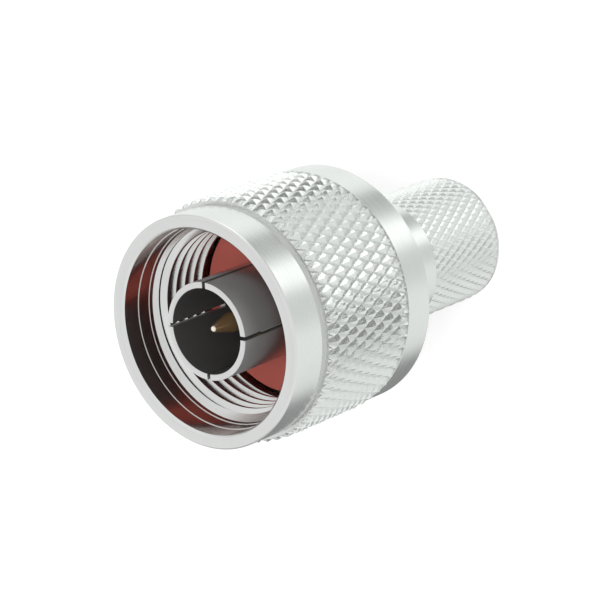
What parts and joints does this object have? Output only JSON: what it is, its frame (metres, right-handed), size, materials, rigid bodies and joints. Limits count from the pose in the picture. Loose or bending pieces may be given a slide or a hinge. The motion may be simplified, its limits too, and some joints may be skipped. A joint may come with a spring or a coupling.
{
  "type": "n type coaxial cable plug",
  "caption": "Coaxial cable plug with a knurled threaded coupling nut, slotted outer contact, centre pin, sealing gasket and crimp ferrule.",
  "frame": {"origin": "centre of the ferrule's rear end, on the surface that the plug stands on", "axes": "+Z along the connector's axis from the cable end to the mating mouth; the outer contact's four slots lie halfway between the X and Y axes"},
  "size_m": [0.0204, 0.0204, 0.0326],
  "materials": {
    "plated_nut": "bright nickel plating on turned brass",
    "plated_ferrule": "bright nickel plating, knurled",
    "plated_body": "bright nickel plating on turned brass",
    "contact_metal": "plated bronze, polished",
    "gold_plate": "gold plating, polished",
    "spring_bronze": "plain bronze strip",
    "red_silicone": "matt moulded silicone",
    "white_ptfe": "turned PTFE"
  },
  "bodies": {
    "plug_body": {"body": "plated_body", "crimp_ferrule": "plated_ferrule", "outer_contact": "contact_metal", "centre_pin": "gold_plate", "front_insulator": "white_ptfe", "rear_insulator": "white_ptfe", "gasket": "red_silicone", "snap_ring": "spring_bronze"},
    "nut": {"coupling_nut": "plated_nut"}
  },
  "joints": [
    {"name": "nut_spin", "type": "hinge", "parent": "plug_body", "child": "nut", "pos_m": [0, 0, 0.0175], "axis": [0, 0, 1], "continuous": true}
  ]
}
